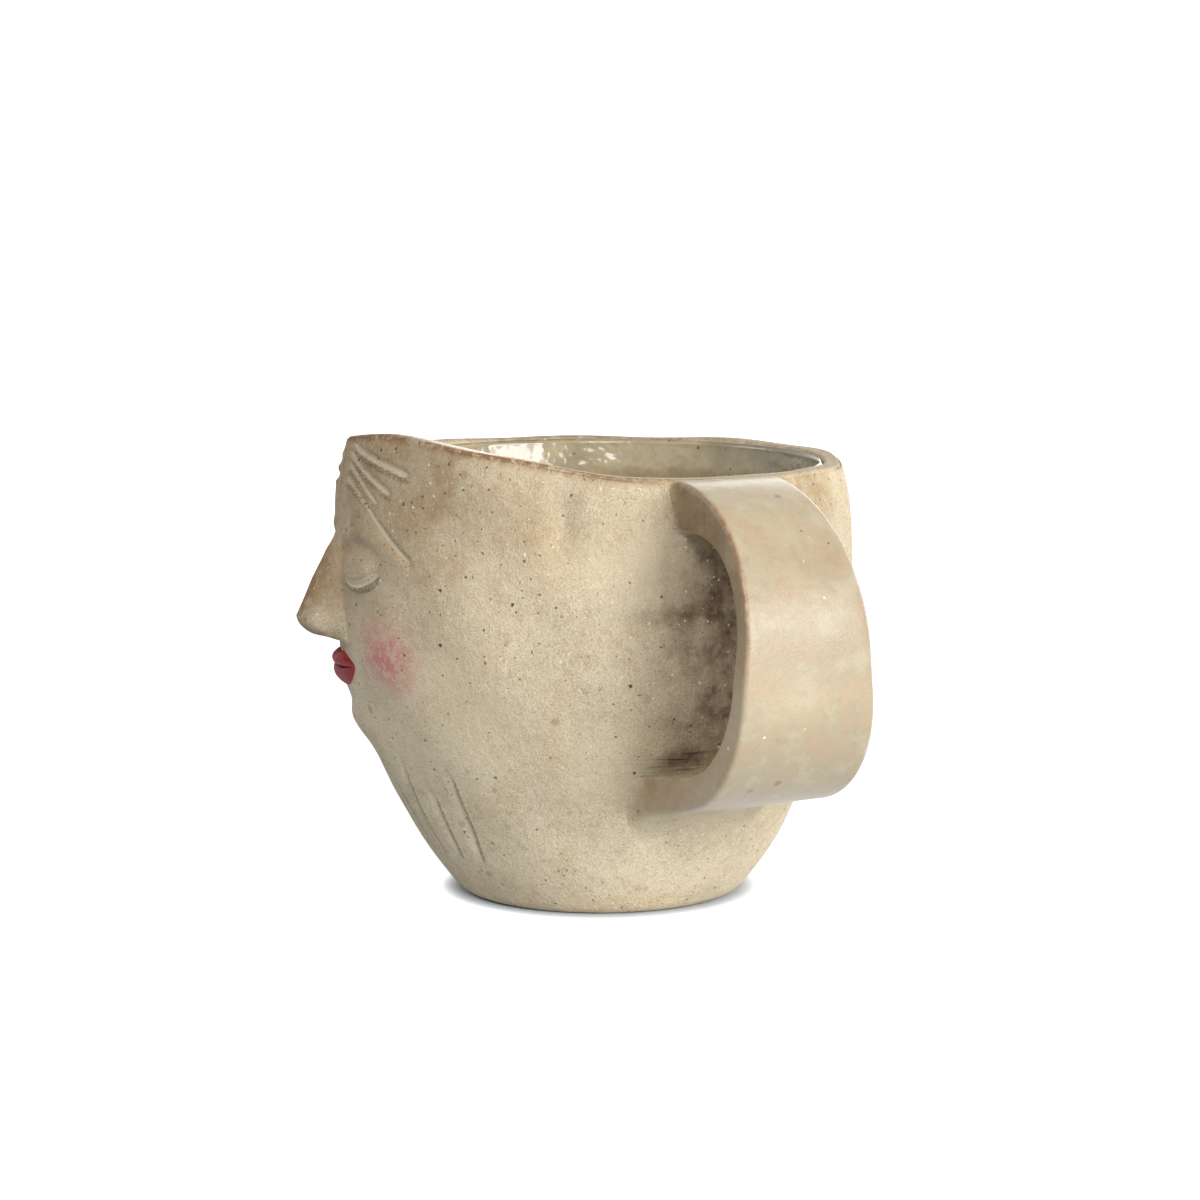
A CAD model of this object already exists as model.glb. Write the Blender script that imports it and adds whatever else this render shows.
import bmesh
import bpy
import numpy as np
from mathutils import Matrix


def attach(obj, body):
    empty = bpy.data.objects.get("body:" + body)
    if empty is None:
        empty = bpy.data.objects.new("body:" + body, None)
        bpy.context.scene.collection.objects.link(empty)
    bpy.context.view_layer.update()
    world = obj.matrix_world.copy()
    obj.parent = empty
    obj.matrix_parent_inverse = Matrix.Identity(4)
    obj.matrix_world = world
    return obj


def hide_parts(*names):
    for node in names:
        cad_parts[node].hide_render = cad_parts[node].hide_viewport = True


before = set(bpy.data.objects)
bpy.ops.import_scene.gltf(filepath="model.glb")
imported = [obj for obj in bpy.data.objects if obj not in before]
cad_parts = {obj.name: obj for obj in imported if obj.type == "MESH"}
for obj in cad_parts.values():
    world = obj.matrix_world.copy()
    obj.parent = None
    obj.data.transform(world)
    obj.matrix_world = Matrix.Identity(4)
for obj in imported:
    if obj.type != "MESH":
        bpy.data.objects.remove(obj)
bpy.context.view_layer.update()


# Floor slab
# The flat disc of speckled stoneware that the mug stands on, cut from a rolled slab.
# The wall is scored and pressed onto it, and a thumb has rounded its lower edge.

foot_radius = 0.0253
foot_edge = 0.0020
belly_radius = 0.0460
belly_height = 0.0580
rim_radius = 0.0441
rim_height = 0.0790
flare_power = 2.3
tuck_power = 4.5
floor_thickness = 0.0060
face_angle = np.radians(-108)
face_spread = np.radians(75)
face_swell = 0.0031
face_swell_at_rim = 0.0015
face_swell_power = 1.5
forehead_rise = 0.0062
forehead_lean = np.radians(24)
forehead_spread = np.radians(82)
seam_overlap = 0.0004
seam_overlap_steps = np.array([1, 1.5])
seam_sink = 0.00003
seam_sink_steps = np.array([1, 12])
slab_columns = 240
under_rows = 8
edge_rows = 9
side_rows = 10
merge_distance = 1e-7


def smooth(value, low, high):
    """A smooth step from 0 at low to 1 at high."""
    share = np.clip((value - low) / (high - low), 0, 1)
    return share * share * (3 - 2 * share)


def hill(angle, spread):
    """A cosine-squared hill, 1 at angle 0 and 0 from the spread outwards."""
    return np.where(np.abs(angle) < spread, np.cos(np.pi * angle / (2 * spread)) ** 2, 0)


def from_face(angle):
    """How far round the mug an angle lies from the middle of the face, from minus pi to pi."""
    return (angle - face_angle + np.pi) % (2 * np.pi) - np.pi


def wall_radius(z):
    """The plain wall's radius: a power curve from foot to belly, less a late tuck from belly to rim."""
    below = 1 - np.clip(z, 0, belly_height) / belly_height
    above = np.clip(z - belly_height, 0, None) / (rim_height - belly_height)
    flare = (belly_radius - foot_radius) * below**flare_power
    tuck = (belly_radius - rim_radius) * above**tuck_power
    return belly_radius - flare - tuck


def hand_pushed(radius, angle, z):
    """Points of the plain round mug as the hand leaves it. The radius grows by a cosine-squared swell at the
    face, and the height by a cosine-squared lift at the forehead that starts at the belly."""
    on_wall = np.clip(z, 0, rim_height)
    rising = face_swell * (np.clip(on_wall, 0, belly_height) / belly_height) ** face_swell_power
    fading = (face_swell - face_swell_at_rim) * smooth(on_wall, belly_height, rim_height)
    swell = (rising - fading) * hill(from_face(angle), face_spread)
    lift = forehead_rise * hill(from_face(angle) - forehead_lean, forehead_spread)
    out = radius * (1 + swell / wall_radius(on_wall))
    height = z + lift * smooth(z, belly_height, rim_height)
    return np.stack([out * np.cos(angle), out * np.sin(angle), height], axis=-1)


def placed(name, data):
    """A new object in the scene that shows this mesh, camera or lamp."""
    made = bpy.data.objects.new(name, data)
    bpy.context.scene.collection.objects.link(made)
    return made


def mesh_piece(name, points, faces, values=None):
    """A smooth-shaded object from points and faces. Each named value is kept at every point, and doubled
    points are merged."""
    mesh = bpy.data.meshes.new(name)
    mesh.from_pydata(points.tolist(), [], faces)
    for value_name, value in (values or {}).items():
        layer = mesh.attributes.new(value_name, "FLOAT", "POINT")
        layer.data.foreach_set("value", np.ascontiguousarray(value, dtype=np.float32).ravel())
    shell = bmesh.new()
    shell.from_mesh(mesh)
    bmesh.ops.remove_doubles(shell, verts=shell.verts, dist=merge_distance)
    shell.to_mesh(mesh)
    shell.free()
    mesh.shade_smooth()
    return placed(name, mesh)


def quads(rows, columns, wrap_rows=False, wrap_columns=False):
    """The corner numbers of a grid's squares, row after row, joined across the seam where a side wraps."""
    last_row = rows if wrap_rows else rows - 1
    last_column = columns if wrap_columns else columns - 1
    row, column = np.meshgrid(np.arange(last_row), np.arange(last_column), indexing="ij")
    next_row = (row + 1) % rows
    next_column = (column + 1) % columns
    corners = [row * columns + column, row * columns + next_column,
               next_row * columns + next_column, next_row * columns + column]
    return np.stack(corners, axis=-1).reshape(-1, 4).tolist()


def capped_rings(rings, first_pole, last_pole):
    """Closed rings of points in a row, joined by squares, and closed at both ends by triangles to a point."""
    count, around = rings.shape[:2]
    points = np.concatenate([rings.reshape(-1, 3), [first_pole, last_pole]])
    step = np.arange(around)
    turn = (step + 1) % around
    first_cap = np.full(around, count * around)
    last_ring = (count - 1) * around
    faces = quads(count, around, wrap_columns=True)
    faces += np.stack([turn, step, first_cap], axis=-1).tolist()
    faces += np.stack([last_ring + step, last_ring + turn, first_cap + 1], axis=-1).tolist()
    return points, faces


def turned_piece(name, radius, z, columns):
    """A profile that starts and ends on the axis, turned round it and pushed by hand."""
    angle = np.linspace(-np.pi, np.pi, columns, endpoint=False)
    grid = np.broadcast_arrays(radius[1:-1, None], angle, z[1:-1, None])
    points, faces = capped_rings(hand_pushed(*grid), (0, 0, z[0]), (0, 0, z[-1]))
    return mesh_piece(name, points, faces)


def bend(start, corner, end, steps):
    """A rounded corner: a parabola from start to end that leaves towards the corner, as radius and height."""
    t = np.linspace(0, 1, steps)[:, None]
    curve = (1 - t) ** 2 * np.array(start) + 2 * t * (1 - t) * np.array(corner) + t**2 * np.array(end)
    return curve[:, 0], curve[:, 1]


edge_top = (wall_radius(foot_edge), foot_edge)
edge_radius, edge_z = bend((foot_radius - foot_edge, 0), (foot_radius, 0), edge_top, edge_rows)
side_z = np.linspace(foot_edge, floor_thickness, side_rows)[1:]
under_radius = np.linspace(0, foot_radius - foot_edge, under_rows)[:-1]
sunk_z = seam_overlap_steps * seam_overlap + floor_thickness
sunk_radius = wall_radius(sunk_z) - seam_sink_steps * seam_sink
slab_radius = np.concatenate([under_radius, edge_radius, wall_radius(side_z), sunk_radius, [0]])
slab_z = np.concatenate([0 * under_radius, edge_z, side_z, sunk_z, sunk_z[-1:]])
floor_slab = turned_piece("clay_floor", slab_radius, slab_z, slab_columns)

# The clay's colours: the bare clay, the skin that a sponge leaves, the marks on them and the grit
cream = (0.745, 0.630, 0.430)
grey_green = (0.615, 0.515, 0.342)
tan = (0.640, 0.490, 0.300)
mottle_brown = (0.440, 0.345, 0.230)
mottle_pale = (0.790, 0.700, 0.520)
sand_brown = (0.270, 0.205, 0.130)
sand_pale = (0.900, 0.810, 0.610)
blotch_brown = (0.380, 0.245, 0.145)
skin_shade = (0.430, 0.355, 0.228)
skin_light = (0.490, 0.405, 0.262)
skin_peach = (0.478, 0.350, 0.217)
skin_pale = (0.545, 0.465, 0.318)
skin_mottle = (0.375, 0.285, 0.190)
skin_sand = (0.330, 0.255, 0.165)
skin_blotch = (0.240, 0.150, 0.100)
washed_cream = (0.835, 0.700, 0.470)
toast_brown = (0.365, 0.238, 0.118)
smoke_brown = (0.110, 0.064, 0.034)
rust_brown = (0.260, 0.130, 0.050)
blush_pink = (0.620, 0.235, 0.215)
scratch_black = (0.050, 0.036, 0.026)
stroke_pale = (0.870, 0.770, 0.570)
burr_brown = (0.140, 0.098, 0.064)
grit_pale = (0.910, 0.830, 0.630)
grit_rusty = (0.340, 0.160, 0.065)
grit_pepper = (0.090, 0.064, 0.045)
grit_dark = (0.035, 0.025, 0.020)
blotch_strength = 0.60
skin_blotch_strength = 0.80
washed_strength = 0.80
stroke_strength = 0.60
burr_strength = 0.80

pattern_shift = (0.31, 0.17, 0.23)
scratch_stretch = (0.05, 0.05, 1.0)
ragged_edge = (0.0006, 0.0006, 0.0006)
grit_rarity = 2.5
grit_on_skin = 0.10
grit_crowding = 5.0
grain_relief = 0.4
skin_relief = 0.25
clay_roughness = 0.80
skin_roughness = 0.34
gloss_roughness = 0.28


def node(tree, kind, inputs=None, **settings):
    """Adds a shader node, sets its settings, and fills its inputs with values or other nodes' outputs."""
    made = tree.nodes.new(kind)
    for key, value in settings.items():
        setattr(made, key, value)
    for key, value in (inputs or {}).items():
        if isinstance(value, bpy.types.NodeSocket):
            tree.links.new(value, made.inputs[key])
        else:
            made.inputs[key].default_value = value
    return made


def maths(operation, first, second=0.0):
    """The output of a Math node, made in the tree that its first value belongs to."""
    return node(first.id_data, "ShaderNodeMath", {0: first, 1: second}, operation=operation).outputs[0]


def times(first, second):
    """The product of two values."""
    return maths("MULTIPLY", first, second)


def ramp(value, low, high, to_low=0.0, to_high=1.0):
    """A smooth ramp of a value, from to_low at low to to_high at high."""
    inputs = {"Value": value, "From Min": low, "From Max": high, "To Min": to_low, "To Max": to_high}
    made = node(value.id_data, "ShaderNodeMapRange", inputs, interpolation_type="SMOOTHSTEP")
    return made.outputs["Result"]


def mixed(share, below, above):
    """Two colours mixed by a share."""
    made = node(share.id_data, "ShaderNodeMix", {"Factor": share}, data_type="RGBA")
    colour_inputs = [socket for socket in made.inputs if socket.type == "RGBA"]
    for socket, value in zip(colour_inputs, (below, above)):
        if isinstance(value, bpy.types.NodeSocket):
            share.id_data.links.new(value, socket)
        else:
            socket.default_value = (*value, 1)
    return next(socket for socket in made.outputs if socket.type == "RGBA")


def noise(place, scale, detail=2.0, roughness=0.5):
    """A noise value at a place; scale is in features per metre."""
    inputs = {"Vector": place, "Scale": scale, "Detail": detail, "Roughness": roughness}
    return node(place.id_data, "ShaderNodeTexNoise", inputs).outputs["Fac"]


def specks(place, per_metre, smallest, largest, share, softness=0.6):
    """A mask of grains, one in each cell of a scatter, in that share of cells. Most are near the smallest
    radius, a few near the largest, and the softness of their edges is a share of the smallest."""
    cells = node(place.id_data, "ShaderNodeTexVoronoi", {"Vector": place, "Scale": per_metre})
    chance = node(place.id_data, "ShaderNodeSeparateColor", {"Color": cells.outputs["Color"]})
    rarely = maths("POWER", chance.outputs["Green"], grit_rarity)
    size = ramp(rarely, 0.0, 1.0, smallest * per_metre, largest * per_metre)
    size = times(size, maths("LESS_THAN", chance.outputs["Red"], share))
    inside = maths("SUBTRACT", size, cells.outputs["Distance"])
    return ramp(inside, 0.0, softness * smallest * per_metre)


def painted(colour, mask, strength, paint):
    """A colour with a paint laid over it where a mask is, at a strength."""
    return mixed(times(mask, strength), colour, paint)


def layered(colour, layers):
    """A colour under layers of paint, each laid where its texture passes from bare to full, at a strength."""
    for texture, bare, full, strength, paint in layers:
        colour = painted(colour, ramp(texture, bare, full), strength, paint)
    return colour


def value_of(tree, name):
    """A value that the mesh carries at each point."""
    return node(tree, "ShaderNodeAttribute", attribute_name=name).outputs["Fac"]


def shifted_from(place):
    """A place moved far enough that a pattern there has nothing in common with the pattern here."""
    inputs = {"Vector": place, "Location": pattern_shift}
    return node(place.id_data, "ShaderNodeMapping", inputs).outputs["Vector"]


def new_tree(name):
    """An empty node material, its tree, and the place of each point on the object."""
    material = bpy.data.materials.new(name)
    material.use_nodes = True
    tree = material.node_tree
    tree.nodes.clear()
    return material, tree, node(tree, "ShaderNodeTexCoord").outputs["Object"]


def surfaced(tree, inputs):
    """Ends a material's tree with a principled surface that has these inputs."""
    shader = node(tree, "ShaderNodeBsdfPrincipled", inputs)
    node(tree, "ShaderNodeOutputMaterial", {"Surface": shader.outputs["BSDF"]})


def clay_finish(name):
    """Unglazed stoneware: cloudy cream, tan and grey-green clay with sandy grain and soft tan blotches, wiped
    to a smoother skin on the strap. The mesh carries the marks that lie where the maker and the kiln left
    them: washed, toasted and smoky areas, rust on edges, pink blush, tool strokes, scratches, a glossy rim
    and grit, where the specks crowd. Pale, rusty and dark specks lie over it all."""
    material, tree, place = new_tree(name)
    shifted = shifted_from(place)
    wiped = value_of(tree, "wiped")

    cloud = noise(place, scale=40, detail=3.0, roughness=0.55)
    drift = noise(shifted, scale=110, detail=3.0, roughness=0.55)
    haze = noise(shifted, scale=170, detail=3.0, roughness=0.6)
    peach = noise(shifted, scale=190, detail=3.0, roughness=0.6)
    mottle = noise(place, scale=480, detail=3.0, roughness=0.6)
    patchy = noise(shifted, scale=520, detail=4.0, roughness=0.75)
    grain = noise(place, scale=3000, detail=2.0, roughness=0.7)
    blotch = specks(shifted, per_metre=190, smallest=0.0004, largest=0.0012, share=0.70, softness=1.5)

    # The bare clay, and the skin where a sponge has wiped it
    clay = layered(grey_green, (
        (cloud, 0.38, 0.60, 1.00, cream),
        (drift, 0.48, 0.66, 0.60, tan),
        (mottle, 0.52, 0.72, 0.45, mottle_brown),
        (mottle, 0.46, 0.30, 0.40, mottle_pale),
        (grain, 0.52, 0.66, 0.45, sand_brown),
        (grain, 0.47, 0.34, 0.45, sand_pale),
    ))
    clay = painted(clay, blotch, blotch_strength, blotch_brown)
    skin = layered(skin_shade, (
        (cloud, 0.38, 0.62, 1.00, skin_light),
        (peach, 0.46, 0.64, 0.70, skin_peach),
        (peach, 0.50, 0.34, 0.50, skin_pale),
        (mottle, 0.52, 0.72, 0.35, skin_mottle),
        (grain, 0.54, 0.70, 0.25, skin_sand),
    ))
    skin = painted(skin, blotch, skin_blotch_strength, skin_blotch)
    colour = mixed(wiped, clay, skin)

    # The marks of the maker's hand and of the kiln, each broken up by a texture
    cloudy = ramp(drift, 0.36, 0.60, to_low=1.0, to_high=0.65)
    broken = ramp(patchy, 0.40, 0.56, to_low=0.40)
    smudged = ramp(drift, 0.36, 0.60, to_low=0.55, to_high=0.90)
    smudged = times(smudged, ramp(patchy, 0.38, 0.60, to_low=0.65))
    smoky = ramp(haze, 0.36, 0.62, to_low=0.60)
    smoky = times(smoky, ramp(patchy, 0.38, 0.60, to_low=0.80))
    washed = times(value_of(tree, "washed"), cloudy)
    colour = painted(colour, washed, washed_strength, washed_cream)
    for mark, texture, paint in (
        ("toast", smudged, toast_brown),
        ("stain", smoky, smoke_brown),
        ("rust", broken, rust_brown),
        ("blush", broken, blush_pink),
    ):
        colour = mixed(times(value_of(tree, mark), texture), colour, paint)

    # Scratches, and the strokes of the tool with the crumbs beside them
    combed = node(tree, "ShaderNodeMapping", {"Vector": place, "Scale": scratch_stretch}).outputs["Vector"]
    scratch = ramp(noise(combed, scale=1500, detail=2.0, roughness=0.6), 0.52, 0.60)
    colour = mixed(times(value_of(tree, "scratched"), scratch), colour, scratch_black)
    stroke = ramp(value_of(tree, "stroke"), 0.30, 0.60)
    colour = painted(colour, stroke, stroke_strength, stroke_pale)
    crumbs = ramp(value_of(tree, "burr"), 0.16, 0.50)
    crumbs = times(crumbs, ramp(grain, 0.46, 0.56, to_low=0.45))
    colour = painted(colour, crumbs, burr_strength, burr_brown)

    # The grit: specks with ragged edges, few on the wiped skin and crowded where the wall is gritty
    jitter = node(tree, "ShaderNodeTexNoise", {"Vector": place, "Scale": 2600, "Detail": 1.0})
    uneven = jitter.outputs["Color"]
    ragged = node(tree, "ShaderNodeVectorMath", {0: uneven, 1: ragged_edge, 2: place},
                  operation="MULTIPLY_ADD").outputs["Vector"]
    elsewhere = shifted_from(ragged)
    plain = ramp(wiped, 0.0, 1.0, to_low=1.0, to_high=grit_on_skin)
    crowded_grit = ramp(value_of(tree, "gritty"), 0.0, 1.0, to_low=1.0, to_high=grit_crowding)
    crowding = times(plain, crowded_grit)
    for where, per_metre, smallest, largest, abundance, share, strength, paint in (
        (elsewhere, 1000, 0.00010, 0.00026, plain, 0.32, 0.80, grit_pale),
        (elsewhere, 560, 0.00015, 0.00036, plain, 0.40, 0.70, grit_rusty),
        (ragged, 1000, 0.00014, 0.00030, crowding, 0.19, 0.85, grit_pepper),
        (ragged, 360, 0.00020, 0.00044, crowding, 0.17, 0.92, grit_dark),
    ):
        grains = specks(where, per_metre, smallest, largest, times(abundance, share))
        colour = painted(colour, grains, strength, paint)

    relief = maths("ADD", times(grain, grain_relief), patchy)
    relief = times(relief, ramp(wiped, 0.0, 1.0, to_low=1.0, to_high=skin_relief))
    bump = node(tree, "ShaderNodeBump", {"Height": relief, "Strength": 0.70, "Distance": 0.00050})
    rough = ramp(wiped, 0.0, 1.0, to_low=clay_roughness, to_high=skin_roughness)
    rough = ramp(value_of(tree, "gloss"), 0.0, 1.0, to_low=rough, to_high=gloss_roughness)
    surfaced(tree, {
        "Base Color": colour,
        "Roughness": rough,
        "Normal": bump.outputs["Normal"],
        "Specular IOR Level": 0.50,
    })
    return material


speckled_clay = clay_finish("speckled_clay")
floor_slab.data.materials.append(speckled_clay)
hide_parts("floor_slab")
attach(floor_slab, "root")


# Wall
# The round wall of speckled stoneware, pinched and smoothed by hand, with a flat-cut rim that rises at the
# forehead. A face is modelled in low relief in the same clay; lids, hair and flutes are cut with a tool.

wall_thickness = 0.0042
rim_edge = 0.0009
rim_edge_steps = 6
wall_columns = 476
outside_rows = 164
inside_rows = 22
fine_turns = 20001
fine_rows = 2001
face_crowding = 2.6
face_crowding_spread = np.radians(85)
row_crowding = 1.4
row_crowding_rise = (0.030, 0.055)
handle_clear = np.radians(36)
handle_clear_at_rim = np.radians(40)
rim_wobble = 0.00018
rim_waves = ((4, 0, 0.7), (9, 0, 2.0))
dent_depth = 0.00020
dent_waves = ((3, 90, 0.0), (7, -140, 1.3), (11, 210, 2.1))
thumb_depth = 0.0010
thumb_angle = np.radians(-37)
thumb_height = 0.0715
thumb_size = (0.0024, 0.0055)

# The face in three equal parts, from the chin to the nose, the brow and the hair
chin_height = 0.0300
third = (rim_height + forehead_rise - chin_height) / 3
nose_base = chin_height + third
brow_height = nose_base + third
mouth_height = nose_base - third / 3
eye_width = 0.0130
eye_height = brow_height - 0.30 * third

# The tool's strokes and the burr that it throws up
stroke_width = 0.0014
stroke_depth = 0.0012
stroke_ease = 0.0025
burr_shift = 0.0009
burr_rise = 0.0002
burr_hidden = 1.5

# The eyes' lids and brows
lid_half = 0.55 * eye_width
lid_sag = 0.0026
lid_start = 0.42 * eye_width
lid_end = 1.62 * eye_width
lid_rise = 0.0016
lid_width = 0.0080
lid_tallness = 0.0044
lid_drop = 0.0004
crease_depth = 0.0004
crease_above = 0.0028
crease_arch = 0.0016
crease_width = 0.0020
crease_start = 0.50 * eye_width
crease_end = 1.60 * eye_width
brow_rise = 0.0008
brow_above = 0.0008
brow_arch = 0.0026
brow_span = 0.0110
brow_tallness = 0.0019
brow_inner_end = (0.002, 0.007)
brow_outer_end = (0.016, 0.027)

# The face's soft mounds and hollows: rise, middle beside the centre line, middle's height, width and tallness
face_mounds = {
    "eye socket": (-0.0012, 0.0095, eye_height + 0.0024, 0.0080, 0.0044),
    "under the eye": (-0.0006, 0.0130, eye_height - 0.0062, 0.0080, 0.0030),
    "cheek": (0.0011, 0.0205, nose_base - 0.0005, 0.0090, 0.0085),
    "round the mouth": (0.0006, 0.0000, mouth_height, 0.0110, 0.0060),
    "under the mouth": (-0.0008, 0.0000, mouth_height - 0.0066, 0.0075, 0.0022),
    "chin": (0.0015, 0.0000, chin_height + 0.0030, 0.0080, 0.0048),
}

# The hair: a parting, and locks whose heights, starts, falls and ends change by steps from one to the next
parting_low = 0.0780
parting_high = 0.0900
locks = 4
lock_span = 0.0320
lock_height = 0.0765
lock_height_step = 0.0023
lock_fall = 0.0150
lock_fall_step = 0.0024
lock_fall_power = 1.6
lock_wave = 0.0006
lock_wave_turns = 5
lock_start = 0.0012
lock_start_step = 0.0006
lock_end = 0.0300
lock_end_step = 0.0033
lock_end_shuffle = 3
lock_ease = 0.0040

# The flutes under the chin
flutes_a_side = 4
flute_pitch = np.radians(9.5)
flute_low = 0.0080
flute_top = 0.0290
short_flute_top = 0.0240
flute_ease = 0.0050


def inside_radius(z):
    """The wall's inside, one thickness in from the outside along the wall's own normal."""
    step = 0.00001
    slope = (wall_radius(z + step) - wall_radius(z - step)) / (2 * step)
    return wall_radius(z) - wall_thickness * np.hypot(1, slope)


def mound(across, height, middle, size):
    """A soft round mound, 1 in the middle, that fades over a width and a height."""
    return np.exp(-((across - middle[0]) / size[0]) ** 2 - ((height - middle[1]) / size[1]) ** 2)


def mounds(shapes, beside, height):
    """Mounds and hollows added up, each by its rise, its middle's place and height, and its two sizes."""
    total = 0 * beside
    for rise, middle, level, width, tallness in shapes.values():
        total += rise * mound(beside, height, (middle, level), (width, tallness))
    return total


def ripples(waves, along, up):
    """Sine waves added up, each by its turns along, its turns up and its start, lowered to stay below 0."""
    return sum(np.sin(turns * along + rises * up + start) - 1 for turns, rises, start in waves)


def trough(offset, run, start, end, width, ease=stroke_ease):
    """How deep a stroke cuts, 0 to 1: a bell-shaped trough about offset 0 that runs out towards both ends."""
    ends = smooth(run, start, start + ease) * (1 - smooth(run, end - ease, end))
    return np.exp(-((2 * offset / width) ** 2)) * ends


def lid_stroke(beside, height):
    """The edge of the closed lid: one hanging arc, a parabola from corner to corner of the eye."""
    share = (beside - eye_width) / lid_half
    slope = 2 * lid_sag * share / lid_half
    offset = (height - eye_height + lid_sag * (1 - share**2)) / np.hypot(1, slope)
    return trough(offset, beside, lid_start, lid_end, stroke_width)


def lid_crease(beside, height):
    """The soft fold above the lid: a flat arch, a parabola, wider and shallower than the lid's edge."""
    share = (beside - eye_width) / lid_half
    offset = height - eye_height - crease_above - crease_arch * (1 - share**2)
    return trough(offset, beside, crease_start, crease_end, crease_width)


def hair_strokes(beside, height):
    """Locks combed to each side from a middle parting: curves that start close together under the rim, spread
    as they go out and fall by a power of how far they reach, with a slight wave."""
    cut = trough(beside, height, parting_low, parting_high, stroke_width)
    out = np.clip(beside, 0, None) / lock_span
    for lock in range(locks):
        level = lock_height + lock_height_step * lock
        fall = (lock_fall - lock_fall_step * lock) * out**lock_fall_power
        fall = fall - lock_wave * np.sin(lock_wave_turns * out + lock)
        start = lock_start + lock_start_step * lock
        end = lock_end - lock_end_step * ((lock * lock_end_shuffle) % locks)
        cut = np.maximum(cut, trough(height - level + fall, beside, start, end, stroke_width, lock_ease))
    return cut


def flute_strokes(around, height):
    """A row of plain upright flutes under the chin, evenly spaced round the wall, every second one short."""
    cut = 0 * around
    for flute in range(-flutes_a_side, flutes_a_side + 1):
        offset = (around - flute_pitch * flute) * wall_radius(height)
        top = short_flute_top if flute % 2 else flute_top
        cut = np.maximum(cut, trough(offset, height, flute_low, top, stroke_width, flute_ease))
    return cut


def tool_strokes(around, height):
    """The lids' edges, the hair and the flutes, all cut with one round-tipped tool: its depth, 0 to 1."""
    beside = np.abs(around * wall_radius(height))
    on_head = np.maximum(lid_stroke(beside, height), hair_strokes(beside, height))
    return np.maximum(on_head, flute_strokes(around, height))


def tool_burr(around, height):
    """The crumbly burr that the tool throws up along one side of each stroke: the stroke moved aside and
    down, less the stroke itself."""
    moved = tool_strokes(around - burr_shift / wall_radius(height), height + burr_shift)
    return np.clip(moved - burr_hidden * tool_strokes(around, height), 0, 1)


def face_relief(around, height):
    """How far the face stands out of the plain wall, at each angle from its middle and each height: domed
    lids, an arched ridge for each brow, the soft mounds, and the tool's strokes with their burr."""
    beside = np.abs(around * wall_radius(height))
    from_eye = beside - eye_width
    lid_dome = 1 - (from_eye / lid_width) ** 2 - ((height - eye_height + lid_drop) / lid_tallness) ** 2
    brow_line = brow_height + brow_above - brow_arch * (from_eye / brow_span) ** 2
    brow_ends = smooth(beside, *brow_inner_end) * (1 - smooth(beside, *brow_outer_end))
    relief = lid_rise * smooth(lid_dome, 0, 1)
    relief += brow_rise * brow_ends * np.exp(-((height - brow_line) / brow_tallness) ** 2)
    relief += mounds(face_mounds, beside, height) - crease_depth * lid_crease(beside, height)
    return relief + burr_rise * tool_burr(around, height) - stroke_depth * tool_strokes(around, height)


def hand_dents(angle, height):
    """The unevenness that fingers leave: three slow waves and one upright thumb mark, all pressed inwards."""
    waves = dent_depth * ripples(dent_waves, angle, height)
    thumb = thumb_depth * mound((angle - thumb_angle) * belly_radius, height, (0, thumb_height), thumb_size)
    return (waves - thumb) * (1 - hill(angle, handle_clear))


def outside(angle, z, out=0.0):
    """Points on the wall's finished outside, standing out by a further distance."""
    angle, z = np.broadcast_arrays(angle, z)
    height = hand_pushed(wall_radius(z), angle, z)[..., 2]
    settled = smooth(z, floor_thickness, 3 * floor_thickness)
    relief = settled * (face_relief(from_face(angle), height) + hand_dents(angle, height))
    return hand_pushed(wall_radius(z) + relief + out, angle, z)


def crowded(count, crowding, spread):
    """Angles round the mug, set closer together near the face: equal shares of a density that peaks there."""
    fine = np.linspace(face_angle - np.pi, face_angle + np.pi, fine_turns)
    share = np.cumsum(1 + crowding * hill(from_face(fine), spread))
    share = (share - share[0]) / (share[-1] - share[0])
    return np.interp(np.linspace(0, 1, count, endpoint=False), share, fine)


wall_angles = crowded(wall_columns, face_crowding, face_crowding_spread)
even_z = np.linspace(floor_thickness, rim_height - rim_edge, fine_rows)
row_share = np.cumsum(1 + row_crowding * smooth(even_z, *row_crowding_rise))
outer_z = np.interp(np.linspace(row_share[0], row_share[-1], outside_rows), row_share, even_z)[:, None]
outer_points = outside(wall_angles, outer_z)
seam_z = floor_thickness - seam_overlap_steps[::-1, None] * seam_overlap
seam_points = outside(wall_angles, seam_z, -seam_sink_steps[::-1, None] * seam_sink)

# The rim's outline: how far in from the wall's outside and how far down from the top
edge_turn = np.linspace(0, np.pi / 2, rim_edge_steps)[:, None]
edge_in = rim_edge * (1 - np.cos(edge_turn))
edge_drop = rim_edge * (1 - np.sin(edge_turn))
rim_in = np.concatenate([edge_in[1:], [[wall_thickness / 2]], wall_thickness - edge_in[::-1]])
rim_drop = np.concatenate([edge_drop[1:], [[0]], edge_drop[::-1]])

# The rim's level wobbles. Its inner edge follows the plain wall, without the strokes that cut the outer
rim_reach = np.hypot(outer_points[-1, :, 0], outer_points[-1, :, 1])
rim_level = hand_pushed(rim_radius, wall_angles, np.full_like(wall_angles, rim_height))[:, 2]
rim_dip = rim_wobble * ripples(rim_waves, wall_angles, 0)
rim_level = rim_level + rim_dip * (1 - hill(wall_angles, handle_clear_at_rim))
plain_rim = hand_pushed(wall_radius(outer_z[-1]), wall_angles, outer_z[-1] + 0 * wall_angles)
plain_reach = np.hypot(plain_rim[:, 0], plain_rim[:, 1])
inner_share = smooth(rim_in, 0.0, wall_thickness / 2)
rim_out = rim_reach * (1 - inner_share) + plain_reach * inner_share - rim_in
rim_x = rim_out * np.cos(wall_angles)
rim_y = rim_out * np.sin(wall_angles)
rim_points = np.stack([rim_x, rim_y, rim_level - rim_drop], axis=-1)

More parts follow.
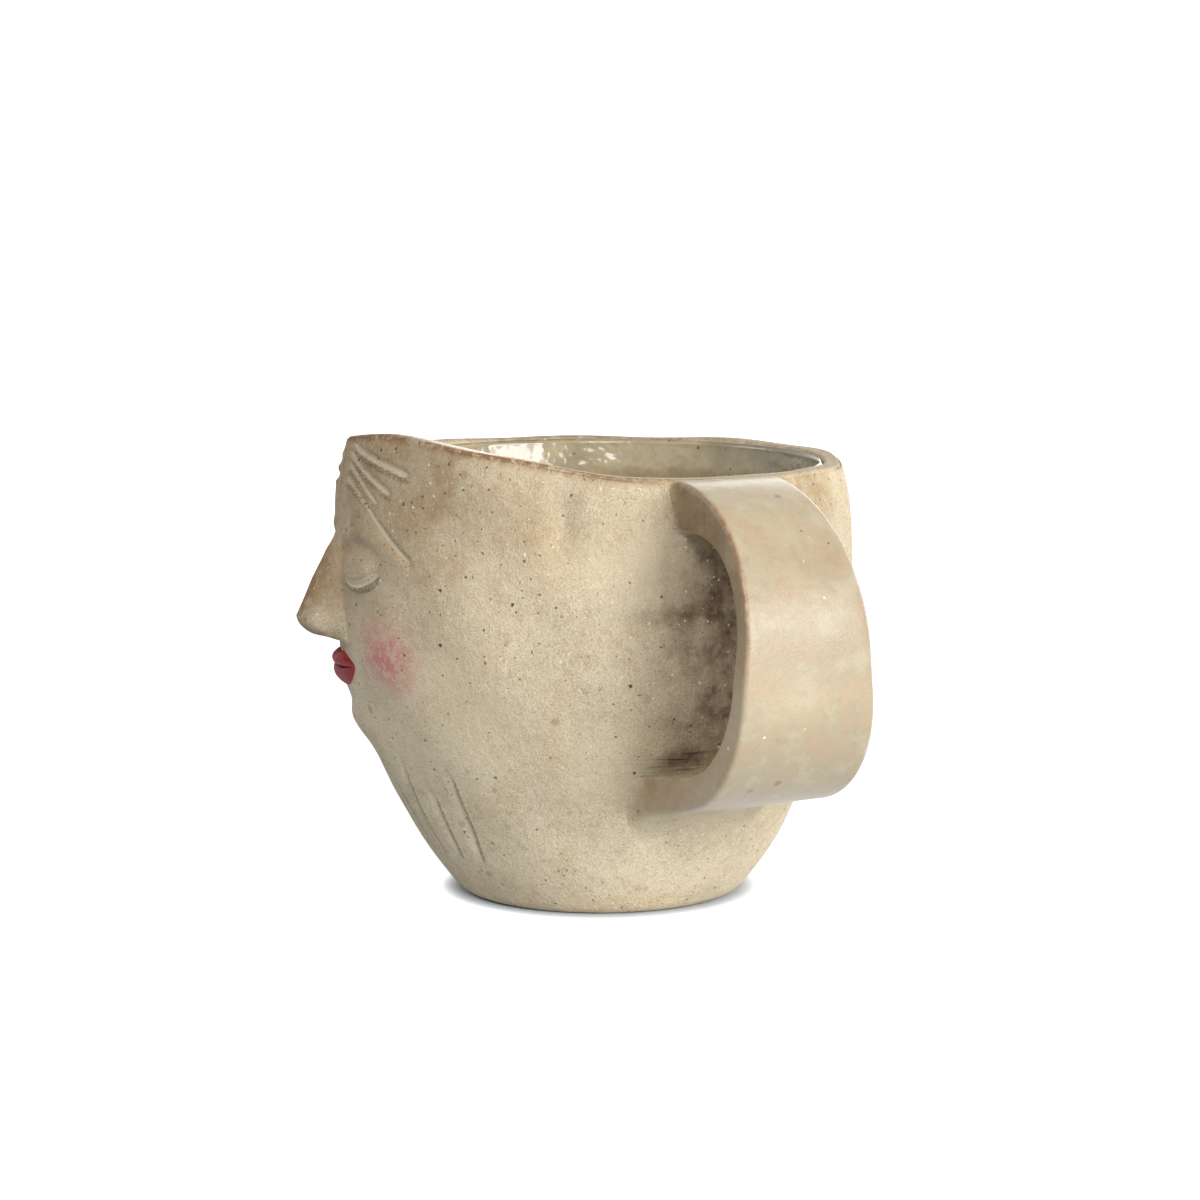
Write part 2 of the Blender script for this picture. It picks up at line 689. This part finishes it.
inner_low = floor_thickness - seam_overlap_steps[-1] * seam_overlap
inner_z = np.linspace(rim_height - rim_edge, inner_low, inside_rows)[1:, None]
inner_points = hand_pushed(*np.broadcast_arrays(inside_radius(inner_z), wall_angles, inner_z))
wall_points = np.concatenate([seam_points, outer_points, rim_points, inner_points])

# What each point of the wall carries for its colour
wall_turn = np.broadcast_to(wall_angles, wall_points.shape[:2])
wall_level = wall_points[..., 2]
on_outside = np.arange(len(wall_points))[:, None] < len(seam_points) + outside_rows
below_rim = rim_level - wall_level
outward = np.hypot(wall_points[..., 0], wall_points[..., 1]) - rim_reach + wall_thickness
outer_half = smooth(outward, 0.55 * wall_thickness, 0.85 * wall_thickness)
rim_top_depths = (0.0002, 0.0009)
rim_rust = 1.5
rim_rust_depth = 0.0010
far_rim_rust = 0.75
blush_beside = 0.0215
blush_height = 0.0465
blush_radius = 0.0062


def turn_from(degrees):
    """How far round the wall each point lies from an angle in degrees, from minus pi to pi."""
    return (wall_turn - np.radians(degrees) + np.pi) % (2 * np.pi) - np.pi


def marked(marks):
    """A value from 0 to 1 that a few soft marks leave on the wall. A mark is an angle in degrees, a height,
    a width, a tallness and a strength."""
    value = np.zeros(wall_points.shape[:2])
    for degrees, height, width, tallness, strength in marks:
        across = turn_from(degrees) * belly_radius
        value += strength * mound(across, wall_level, (0, height), (width, tallness))
    return np.clip(value, 0, 1) * on_outside


# The rim: glossy on top beside the face, and rusty along its outer edge and on top at the far side
on_rim_top = 1 - smooth(below_rim, *rim_top_depths)
beside_face = hill(turn_from(-72), np.radians(52))
wall_gloss = on_rim_top * (1 - 0.6 * outer_half) * (0.2 + 0.8 * beside_face)
rim_line = rim_rust * np.exp(-((below_rim / rim_rust_depth) ** 2)) * outer_half
rim_line *= 0.25 + 0.75 * hill(from_face(wall_turn), np.radians(150))
far_rim = far_rim_rust * on_rim_top * hill(turn_from(150), np.radians(95))

# Smoke beside the handle, and pale places where the clay was washed
wall_stain = marked([
    (0, 0.0515, 0.0115, 0.0200, 1.15),
    (-3, 0.0660, 0.0050, 0.0060, 0.45),
    (-9, 0.0560, 0.0120, 0.0016, 0.35),
    (-5, 0.0375, 0.0085, 0.0040, 0.35),
    (-10, 0.0305, 0.0062, 0.0022, 0.80),
    (-20, 0.0270, 0.0050, 0.0040, 0.30),
    (-15, 0.0710, 0.0040, 0.0075, 0.12),
])
wall_washed = marked([
    (-63, 0.0430, 0.0110, 0.0100, 0.90),
    (-50, 0.0640, 0.0110, 0.0050, 0.45),
    (-20, 0.0650, 0.0130, 0.0070, 0.70),
    (-28, 0.0300, 0.0170, 0.0060, 0.50),
    (-78, 0.0300, 0.0120, 0.0100, 0.35),
])

# Grit and toast, both strongest at the top of the face, and blush on the cheeks
gritty_face = hill(from_face(wall_turn), np.radians(105)) * smooth(wall_level, 0.035, 0.075)
gritty_handle = marked([
    (28, 0.0735, 0.0080, 0.0080, 1.2),
    (-6, 0.0375, 0.0090, 0.0060, 0.8),
])
toast_spread = np.radians(82 + 50 * smooth(wall_level, 0.055, 0.080))
wall_toast = hill(from_face(wall_turn), toast_spread) * smooth(wall_level, 0.034, 0.076) * on_outside
wall_toast = wall_toast + marked([
    (24, 0.0755, 0.0065, 0.0040, 1.0),
    (31, 0.0710, 0.0055, 0.0060, 0.55),
    (-56, 0.0755, 0.0110, 0.0050, 0.30),
    (-45, 0.0720, 0.0070, 0.0060, 0.22),
    (-68, 0.0620, 0.0070, 0.0110, 0.22),
])
cheek = np.abs(from_face(wall_turn)) * wall_radius(wall_level)
from_blush = np.hypot(cheek - blush_beside, wall_level - blush_height)
wall_values = {
    "stroke": on_outside * tool_strokes(from_face(wall_turn), wall_level),
    "burr": on_outside * tool_burr(from_face(wall_turn), wall_level),
    "rust": np.clip(rim_line + far_rim, 0, 1),
    "stain": wall_stain,
    "scratched": marked([(-10, 0.0305, 0.0060, 0.0026, 1.0)]),
    "washed": wall_washed,
    "toast": wall_toast,
    "blush": on_outside * np.exp(-((from_blush / blush_radius) ** 3)),
    "gloss": wall_gloss,
    "gritty": np.maximum(gritty_face, gritty_handle),
}
wall_faces = quads(len(wall_points), wall_columns, wrap_rows=True, wrap_columns=True)
wall = mesh_piece("clay_wall", wall_points.reshape(-1, 3), wall_faces, wall_values)
wall.data.materials.append(speckled_clay)
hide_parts("wall")
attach(wall, "root")


# Glaze liner
# The glossy clear glaze poured into the mug and tipped out again. It lies on the clay as a thin glassy coat,
# fuller below the rim, feathers out at the rim's inner edge and pools in the corner over the floor.

glaze_seat = 0.0003
glaze_thickness = 0.0006
pool_radius = 0.0050
glaze_back_floor = floor_thickness + glaze_seat
glaze_face_floor = glaze_back_floor + glaze_thickness
pool_top = glaze_face_floor + pool_radius
glaze_top = rim_height - 0.8 * rim_edge
brim_start = 0.0735
brim_slope = 0.18
brim_blend_start = 0.0640
brim_overlap = 0.00005
liner_columns = 256
back_rows = 40
face_rows = 80
pool_rows = 10
glaze_olive = (0.30, 0.245, 0.140)
glaze_milky = (0.47, 0.385, 0.230)
glaze_mottle = (0.28, 0.22, 0.135)
glaze_speck = (0.06, 0.045, 0.03)
glaze_speck_strength = 0.7


def glaze_radius(z):
    """The glaze's face: a seat and a thickness in from the clay, with a straight opening brim at the rim."""
    plain = inside_radius(z) - glaze_seat - glaze_thickness
    brim = rim_radius - wall_thickness + brim_overlap + (z - glaze_top) * brim_slope
    return plain + (brim - plain) * smooth(z, brim_blend_start, brim_start)


back_z = np.linspace(glaze_back_floor, glaze_top, back_rows)
back_radius = inside_radius(back_z) - glaze_seat / 2
face_z = np.linspace(glaze_top, pool_top, face_rows)[1:]
pool_corner = glaze_radius(glaze_face_floor)
pool_edge = pool_corner - pool_radius
pool_r, pool_z = bend((glaze_radius(pool_top), pool_top), (pool_corner, glaze_face_floor),
                      (pool_edge, glaze_face_floor), pool_rows)
floor_r = np.linspace(pool_edge, 0, pool_rows)[1:]
floor_z = np.full_like(floor_r, glaze_face_floor)
liner_radius = np.concatenate([[0], back_radius, glaze_radius(face_z), pool_r[1:], floor_r])
liner_z = np.concatenate([[glaze_back_floor], back_z, face_z, pool_z[1:], floor_z])
liner = turned_piece("inside_glaze", liner_radius, liner_z, liner_columns)


def glaze_finish():
    """Clear glaze over speckled clay: cloudy olive with milky patches, dark specks, and a glassy coat."""
    material, tree, place = new_tree("clear_glaze")
    cloud = noise(place, scale=60, detail=4.0, roughness=0.6)
    mottle = noise(place, scale=420, detail=3.0, roughness=0.6)
    grains = specks(place, per_metre=600, smallest=0.00014, largest=0.0004, share=0.3)
    colour = layered(glaze_olive, (
        (cloud, 0.38, 0.62, 1.00, glaze_milky),
        (mottle, 0.48, 0.70, 0.35, glaze_mottle),
    ))
    colour = painted(colour, grains, glaze_speck_strength, glaze_speck)
    ripple = node(tree, "ShaderNodeBump", {"Height": cloud, "Strength": 0.7, "Distance": 0.0020})
    surfaced(tree, {
        "Base Color": colour,
        "Roughness": 0.14,
        "Normal": ripple.outputs["Normal"],
        "Coat Weight": 0.6,
        "Coat Roughness": 0.05,
    })
    return material


liner.data.materials.append(glaze_finish())
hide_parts("glaze_liner")
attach(liner, "root")


# Handle strap
# A wide strap of the same stoneware, pulled and wiped smooth with a damp sponge. It is luted to the wall
# level with the rim and again low down, and the clay is smeared into a fillet at both ends.

strap_reach = belly_radius + 0.0256
strap_thickness = 0.0042
strap_top_width = 0.0186
strap_low_width = 0.0274
strap_taper_start = 0.0300
strap_taper_power = 1.5
strap_edge = 0.0011
strap_crown = 0.00015
strap_wave = 0.00010
strap_waves = ((190, 120, 0.0), (75, -260, 1.0))
strap_wave_sink = 0.00015
strap_end_depth = 0.0024
bend_power = 1.5
upper_bend_rows = 60
lower_bend_rows = 40
level_rows = 16
drop_rows = 14
slope_rows = 64
corner_steps = 7
flat_steps = 24
upper_root_thickness = 0.0085
upper_root_fade = (0.004, 0.016)
lower_root_thickness = 0.0062
lower_root_edge = 0.0024
lower_root_fade = (0.0005, 0.0090)
lower_bottom = 0.0235
upper_fillet_aside = 0.0010
upper_fillet_down = 0.0008
lower_fillet_aside = 0.0014
lower_fillet_down = 0.0050
rim_step = 0.0003
rim_step_share = 0.4
curve_fades_over = 0.0120
skirt_reach = 0.0010
skirt_sink = 0.00015


def strap_side(top, reach, upper_bend, bottom, lower_bend, slope):
    """One long face of the strap seen from the side, root to root: a level run, a bend, a drop, a bend and a
    run that slopes down to the wall, as distance from the axis and height."""
    upper_turn = np.pi / 2 * (1 - np.linspace(0, 1, upper_bend_rows) ** bend_power)
    lower_turn = np.linspace(0, slope - np.pi / 2, lower_bend_rows)
    upper = np.stack([reach - upper_bend + upper_bend * np.cos(upper_turn),
                      top - upper_bend + upper_bend * np.sin(upper_turn)], axis=-1)
    lower = np.stack([reach - lower_bend + lower_bend * np.cos(lower_turn),
                      bottom + lower_bend + lower_bend * np.sin(lower_turn)], axis=-1)
    level_x = np.linspace(rim_radius - strap_end_depth, upper[0, 0], level_rows, endpoint=False)
    level = np.stack([level_x, np.full_like(level_x, top)], axis=-1)
    drop_share = np.linspace(0, 1, drop_rows)[1:-1, None]
    straight = upper[-1] * (1 - drop_share) + lower[0] * drop_share
    slope_x = np.linspace(lower[-1, 0], wall_radius(lower_bottom) - strap_end_depth, slope_rows)[1:]
    sloping = np.stack([slope_x, lower[-1, 1] - (lower[-1, 0] - slope_x) * np.tan(slope)], axis=-1)
    return np.concatenate([level, upper, straight, lower, sloping])


def strap_width(z):
    """Wide low down, narrowing towards the rim by a power curve."""
    share = np.clip((z - strap_taper_start) / (rim_height - strap_taper_start), 0, 1)
    return strap_low_width + (strap_top_width - strap_low_width) * share**strap_taper_power


def root_spread(gap, radius):
    """How far the strap's foot spreads over the wall at a gap from it: a quarter circle that meets the wall
    flat, and beyond it a thin skirt that runs on under the wall's surface."""
    share = np.clip(1 - gap / radius, 0, 1)
    return radius * (1 - np.sqrt(1 - share**2)) + skirt_reach * smooth(-gap, 0, strap_end_depth)


strap_outer = strap_side(top=rim_height, reach=strap_reach, upper_bend=0.0270,
                         bottom=lower_bottom, lower_bend=0.0210, slope=np.radians(14))
strap_inner = strap_side(top=rim_height - upper_root_thickness, reach=strap_reach - strap_thickness,
                         upper_bend=0.0180, bottom=lower_bottom + lower_root_thickness,
                         lower_bend=0.0170, slope=np.radians(10))
strap_middle = (strap_outer + strap_inner) / 2
strap_half = (strap_outer - strap_inner) / 2
half_depth = np.hypot(strap_half[:, 0], strap_half[:, 1])[:, None]
half_width = strap_width(strap_middle[:, 1])[:, None] / 2
along = np.concatenate([[0], np.cumsum(np.hypot(*np.diff(strap_middle, axis=0).T))])[:, None]
at_top = strap_middle[:, 1:] > rim_height / 2

# The section, a bar with rounded corners: a flat on each face, and a quarter circle at each corner
quarter = np.linspace(0, np.pi / 2, corner_steps)
sine = np.sin(quarter)
cosine = np.cos(quarter)
one = np.ones_like(quarter)
flat = np.linspace(1, -1, flat_steps)[1:-1]
still = np.zeros_like(flat)
side_sign = np.concatenate([one, flat, -one, -one, -flat, one])
face_sign = np.concatenate([one, still + 1, one, -one, still - 1, -one])
turn_over = np.concatenate([cosine, still, -sine, -cosine, still, sine])
turn_out = np.concatenate([sine, still + 1, cosine, -sine, still - 1, -cosine])

# The section carried along the strap, crowned and a little uneven, with softer edges at the lower root
from_low_root = strap_middle[:, :1] - wall_radius(lower_bottom)
near_low_root = 1 - smooth(from_low_root, *lower_root_fade)
softened = near_low_root * np.where(at_top, 0, 1) * (face_sign > 0)
rounding = strap_edge + (lower_root_edge - strap_edge) * softened
over = side_sign * (half_width - rounding) + turn_over * rounding
depth_share = (face_sign * (half_depth - rounding) + turn_out * rounding) / half_depth
crown = strap_crown * (1 - (over / half_width) ** 2)
unevenness = strap_wave * ripples(strap_waves, along, over) - strap_wave_sink
past_root = smooth(along, *upper_root_fade) * (face_sign > 0)
stand_out = 1 + (crown + unevenness) * past_root / half_depth
plain_x = strap_middle[:, :1] + depth_share * strap_half[:, :1] * stand_out
plain_z = strap_middle[:, 1:] + depth_share * strap_half[:, 1:] * stand_out
root_radius = wall_radius(plain_z)
curving_in = root_radius - np.sqrt(root_radius**2 - over**2)
plain_x = plain_x - curving_in * (1 - smooth(plain_x - root_radius, 0.0, curve_fades_over))

# The roots: the foot of the strap spreads over the wall to both sides, and low down also under the strap
plain_angle = np.arctan2(over, plain_x)
wall_there = outside(plain_angle, plain_z)
gap = np.hypot(plain_x, over) - np.hypot(wall_there[..., 0], wall_there[..., 1])
aside = root_spread(gap, np.where(at_top, upper_fillet_aside, lower_fillet_aside)) * turn_over
upper_down = -np.minimum(turn_out, 0) * root_spread(gap, upper_fillet_down)
lower_down = np.maximum(turn_out, 0) * root_spread(gap, lower_fillet_down)
below_rim_top = rim_step_share * np.abs(aside) + rim_step * smooth(-gap, -0.0005, 0.0015)
rim_clearance = np.where(at_top, below_rim_top, 0)
down = np.where(at_top, upper_down, lower_down) + rim_clearance * np.maximum(turn_out, 0)
skirted = np.where(at_top | (face_sign < 0), np.abs(turn_over), 1)
skirt_depth = skirt_sink * smooth(-gap, -0.0010, strap_end_depth)
sunk = np.minimum(gap, 0) * (1 - skirted) - skirt_depth * skirted
strap_angle = plain_angle + aside / wall_radius(plain_z)
strap_z = plain_z - down
wall_there = outside(strap_angle, strap_z)
strap_out = np.hypot(wall_there[..., 0], wall_there[..., 1]) + np.maximum(gap, 0) + sunk
strap_rings = np.stack([strap_out * np.cos(strap_angle), strap_out * np.sin(strap_angle), strap_z], axis=-1)
first_end = strap_rings[0].mean(axis=0)
last_end = strap_rings[-1].mean(axis=0)
strap_points, strap_faces = capped_rings(strap_rings, first_end, last_end)

# What each point of the strap carries for its colour: wiped, less so on the inner face, rusty on the near
# upper edge, toasted and smoky on the side faces, with one smoky band and a smoky inner face
inner_face = -turn_out
strap_wiped = smooth(gap, -0.0003, 0.0050) * (1 - 0.8 * smooth(inner_face, 0.2, 0.8))
on_edge = (2 * turn_over * turn_out) ** 2 * (face_sign > 0)
strap_rust = on_edge * np.where(turn_over < 0, 1.0, 0.15)
strap_rust = strap_rust * smooth(gap, -0.0003, 0.0020) * smooth(strap_z, 0.044, 0.064)
side_face = smooth(np.abs(turn_over), 0.55, 0.95) * np.abs(side_sign) * smooth(gap, -0.0022, 0.0022)
side_toast = 0.85 - 0.45 * hill(strap_z - 0.041, 0.012) + 0.10 * smooth(strap_z, 0.050, 0.060)
strap_toast = side_face * side_toast
side_stain = side_face * (0.06 + 0.59 * smooth(strap_z, 0.040, 0.070))
band_stain = 0.20 * smooth(strap_z, 0.051, 0.056) * (1 - smooth(strap_z, 0.068, 0.074))
inner_stain = 0.45 * smooth(inner_face, 0.3, 0.9)
strap_stain = np.maximum(np.maximum(side_stain, band_stain), inner_stain)
end_values = np.zeros(2)
strap_values = {
    "rust": np.append(strap_rust, end_values),
    "toast": np.append(strap_toast, end_values),
    "stain": np.append(strap_stain, end_values),
    "wiped": np.append(strap_wiped, end_values),
}
strap = mesh_piece("clay_handle", strap_points, strap_faces, strap_values)
strap.data.materials.append(clay_finish("smooth_clay"))
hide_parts("handle_strap")
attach(strap, "root")


# Nose
# A wedge of clay pressed on the middle of the face and smoothed into the cheeks, with a straight bridge, a
# rounded tip and two soft wings. The clay has fired rusty along its ridge.

nose_length = 0.0155
nose_tip_rise = 0.0030
nose_reach = 0.0075
nose_half_width = 0.0078
nose_half_root = 0.0040
nose_rows = 120
nose_columns = 96
nose_low = -0.14
nose_high = 1.20
bridge_end = 1.15
underside_end = -0.10
ridge_top_width = 0.0012
ridge_widens_by = 0.0016
side_fall_share = 0.42
side_fall_power = 1.25
nose_mounds = {
    "wing": (0.0020, 0.0044, nose_base + 0.0024, 0.0019, 0.0024),
    "nostril": (-0.0014, 0.0024, nose_base - 0.0002, 0.0012, 0.0010),
}
pad_sink = 0.0003
pad_depth = 0.0018
nose_seat = 0.9 * pad_sink


def pad_piece(name, across, z, out, values):
    """A pad of clay on the wall: its front stands out by out, its back lies inside the wall, and they share
    the border, which is sunk just under the wall's surface."""
    angle = face_angle + across / wall_radius(z)
    inner = np.zeros(out.shape, bool)
    inner[1:-1, 1:-1] = True
    front = outside(angle, z, np.where(inner, out, 0) - pad_sink)
    back = outside(angle, z, np.where(inner, -pad_depth, -pad_sink))
    front_faces = np.array(quads(*out.shape))
    back_faces = front_faces[:, ::-1] + out.size
    points = np.concatenate([front.reshape(-1, 3), back.reshape(-1, 3)])
    both = {key: np.concatenate([value.ravel(), value.ravel()]) for key, value in values.items()}
    return mesh_piece(name, points, np.concatenate([front_faces, back_faces]).tolist(), both)


nose_t, nose_s = np.meshgrid(np.linspace(nose_low, nose_high, nose_rows), np.linspace(-1, 1, nose_columns),
                             indexing="ij")
nose_z = nose_base + nose_length * nose_t
nose_half = nose_half_width + (nose_half_root - nose_half_width) * smooth(nose_t, 0.0, 1.1)
nose_across = nose_s * nose_half

# A straight ridge from the bridge to the tip, a rounded underside, and sides that fall away from the ridge
tip = nose_tip_rise / nose_length
bridge = np.clip((bridge_end - nose_t) / (bridge_end - tip), 0, 1)
under_tip = np.clip((tip - nose_t) / (tip - underside_end), 0, 1)
underside = np.sqrt(np.clip(1 - under_tip**2, 0, 1))
ridge_width = ridge_top_width + ridge_widens_by * np.clip(1 - nose_t, 0, 1)
from_ridge = np.hypot(nose_across, ridge_width) - ridge_width
side_fall = np.exp(-(from_ridge / (side_fall_share * nose_half_width)) ** side_fall_power)
nose_out = nose_reach * bridge * underside * side_fall
nose_out += mounds(nose_mounds, np.abs(nose_across), nose_z)
nose_out *= 1 - smooth(np.abs(nose_s), 0.60, 1.0)
nose_out *= smooth(nose_t, nose_low, -0.02) * (1 - smooth(nose_t, 0.9, nose_high))

# What each point of the nose carries for its colour
ridge_rust = 0.95 * np.exp(-((nose_across / 0.0028) ** 2)) * smooth(nose_out, 0.0006, 0.0026)
base_rust = 0.8 * (1 - smooth(nose_t, -0.02, 0.12)) * smooth(nose_out, 0.0003, 0.0015)
nose_values = {
    "rust": np.maximum(ridge_rust, base_rust),
    "stain": 0.6 * np.exp(-((nose_across / 0.0009) ** 2)) * smooth(nose_out, 0.0010, 0.0030),
    "toast": 0.75 * smooth(nose_t, 0.10, 0.60),
}
nose = pad_piece("clay_nose", nose_across, nose_z, nose_out + nose_seat, nose_values)
nose.data.materials.append(speckled_clay)
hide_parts("nose")
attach(nose, "root")


# Lips
# Two small rolls of clay pressed on under the nose, the upper with a bow in its middle, the lower fuller.
# They are brushed with a red glaze that is thin on the high places and darker in the parting.

mouth_width = 0.0160
mouth_curl = 0.0008
upper_lip_height = 0.0032
lower_lip_height = 0.0038
lip_relief = 0.0017
lip_overlap = 0.0001
lip_corner_height = 0.0003
lip_bow_depth = 0.0007
lip_bow_width = 0.0014
lip_fullest = 0.7
lip_roundness = 0.75
lip_seat = 0.8 * pad_sink
lip_rows = 44
lip_columns = 120
parting_reach = 0.22
lip_crimson = (0.20, 0.012, 0.018)
lip_rose = (0.37, 0.045, 0.048)
lip_dark = (0.10, 0.008, 0.010)


def lip_piece(name, toward, middle_height):
    """One lip on its side of the mouth's line, toward 1 for the upper and -1 for the lower: a crescent whose
    height falls from its middle to its corners, with a front rounded like a roll, fullest by the parting."""
    t, s = np.meshgrid(np.linspace(0, 1, lip_rows), np.linspace(-1, 1, lip_columns), indexing="ij")
    from_parting = t if toward > 0 else 1 - t
    across = s * mouth_width / 2
    fullness = 1 - s**2
    bow = lip_bow_depth * np.exp(-((across / lip_bow_width) ** 2)) * (toward > 0)
    tall = lip_corner_height + (middle_height - lip_corner_height) * fullness - bow
    line = mouth_height + mouth_curl * s**2 - toward * lip_overlap
    out = lip_relief * np.sqrt(fullness) * np.sin(np.pi * from_parting**lip_fullest) ** lip_roundness
    values = {"parting": 1 - smooth(from_parting, 0.0, parting_reach)}
    return pad_piece(name, across, line + toward * tall * from_parting, out + lip_seat, values)


def lip_finish():
    """Brushed red glaze: deep crimson, darker towards the parting, worn to a paler rose where it is thin."""
    material, tree, place = new_tree("red_glaze")
    thin = noise(place, scale=700, detail=4.0, roughness=0.65)
    colour = mixed(ramp(thin, 0.36, 0.66), lip_crimson, lip_rose)
    colour = mixed(value_of(tree, "parting"), colour, lip_dark)
    pitted = node(tree, "ShaderNodeBump", {"Height": thin, "Strength": 0.35, "Distance": 0.0003})
    surfaced(tree, {
        "Base Color": colour,
        "Roughness": ramp(thin, 0.3, 0.7, to_low=0.50, to_high=0.70),
        "Normal": pitted.outputs["Normal"],
        "Specular IOR Level": 0.25,
    })
    return material


red_glaze = lip_finish()
for lip_name, lip_node, lip_toward, lip_height in (
    ("red_upper_lip", "upper_lip", 1, upper_lip_height),
    ("red_lower_lip", "lower_lip", -1, lower_lip_height),
):
    lip = lip_piece(lip_name, lip_toward, lip_height)
    lip.data.materials.append(red_glaze)
    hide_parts(lip_node)
    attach(lip, "root")


# Studio
# A white sweep under and behind the mug, a large window to the right of the camera, weaker lamps in front,
# behind and to both sides, and an even white sky. The sweep looks white and keeps the mug's shadow.

camera_angle = np.radians(61)
camera_distance = 0.650
camera_height = 0.144
camera_pitch = np.radians(8)
focal_share = 3.01
sensor = 36.0

camera_data = bpy.data.cameras.new("camera")
camera_data.sensor_width = sensor
camera_data.lens = sensor * focal_share
camera = placed("camera", camera_data)
camera_x = camera_distance * np.sin(camera_angle)
camera_y = -camera_distance * np.cos(camera_angle)
camera.location = (camera_x, camera_y, camera_height)
camera.rotation_euler = (np.pi / 2 - camera_pitch, 0, camera_angle)
bpy.context.scene.camera = camera

floor_half = 6.0
sky_strength = 0.14
lamp_distance = 1.5
sweep_white = (0.58, 0.62, 0.68, 1)
sweep_glow = 0.88
far_glow = 1.0
glow_rises_from = 0.5
glow_rises_to = 2.0
contact_reach = 0.0030
contact_depth = 1.8
floor_corners = [(-floor_half, -floor_half, 0), (floor_half, -floor_half, 0),
                 (floor_half, floor_half, 0), (-floor_half, floor_half, 0)]
floor_mesh = bpy.data.meshes.new("studio_floor")
floor_mesh.from_pydata(floor_corners, [], [(0, 1, 2, 3)])
floor = placed("studio_floor", floor_mesh)


def seen_directly(tree):
    """1 for the rays that see the backdrop itself: the camera's, and those that gloss or glass sends on."""
    path = node(tree, "ShaderNodeLightPath")
    seen = maths("MAXIMUM", path.outputs["Is Camera Ray"], path.outputs["Is Glossy Ray"])
    return maths("MAXIMUM", seen, path.outputs["Is Transmission Ray"])


def sweep_finish():
    """White paper: matte, and where it is seen directly lifted to white by a glow, under which shadows still
    show. The glow rises away from the mug, where less lamplight falls."""
    material, tree, place = new_tree("white_sweep")
    paper = node(tree, "ShaderNodeBsdfDiffuse", {"Color": sweep_white})
    open_share = node(tree, "ShaderNodeAmbientOcclusion", {"Distance": contact_reach}).outputs["AO"]
    open_share = maths("POWER", open_share, contact_depth)
    away = node(tree, "ShaderNodeVectorMath", {0: place}, operation="LENGTH").outputs["Value"]
    lifted = ramp(away, glow_rises_from, glow_rises_to, to_low=sweep_glow, to_high=far_glow)
    strength = times(seen_directly(tree), times(open_share, lifted))
    glow = node(tree, "ShaderNodeEmission", {"Strength": strength})
    both = node(tree, "ShaderNodeAddShader", {0: paper.outputs[0], 1: glow.outputs[0]})
    node(tree, "ShaderNodeOutputMaterial", {"Surface": both.outputs[0]})
    return material


floor_mesh.materials.append(sweep_finish())

world = bpy.data.worlds.new("studio")
world.use_nodes = True
bpy.context.scene.world = world
sky = world.node_tree
sky.nodes.clear()
sky_level = ramp(seen_directly(sky), 0.0, 1.0, to_low=sky_strength)
sky_glow = node(sky, "ShaderNodeBackground", {"Color": (1, 1, 1, 1), "Strength": sky_level})
node(sky, "ShaderNodeOutputWorld", {"Surface": sky_glow.outputs[0]})


def soft_lamp(name, turn, rise, size, strength):
    """A square lamp that looks at the mug's middle from the side, turned from the camera to the right and
    raised, in degrees. Its strength is how bright a white surface that faces it shows."""
    lamp_data = bpy.data.lights.new(name, "AREA")
    lamp_data.shape = "SQUARE"
    lamp_data.size = size
    lamp_data.energy = strength * np.pi**2 * lamp_distance**2
    lamp = placed(name, lamp_data)
    angle = camera_angle + np.radians(turn)
    tilt = np.radians(rise)
    flat_distance = lamp_distance * np.cos(tilt)
    lamp_height = rim_height / 2 + lamp_distance * np.sin(tilt)
    lamp.location = (flat_distance * np.sin(angle), -flat_distance * np.cos(angle), lamp_height)
    lamp.rotation_euler = (np.pi / 2 - tilt, 0, angle)


soft_lamp("window", turn=47, rise=14, size=0.80, strength=0.90)
soft_lamp("front", turn=0, rise=32, size=0.50, strength=0.44)
soft_lamp("left", turn=-100, rise=32, size=0.50, strength=0.12)
soft_lamp("back", turn=166, rise=12, size=0.90, strength=0.30)
soft_lamp("right", turn=116, rise=16, size=0.50, strength=0.24)

bpy.context.scene.view_settings.view_transform = "Standard"
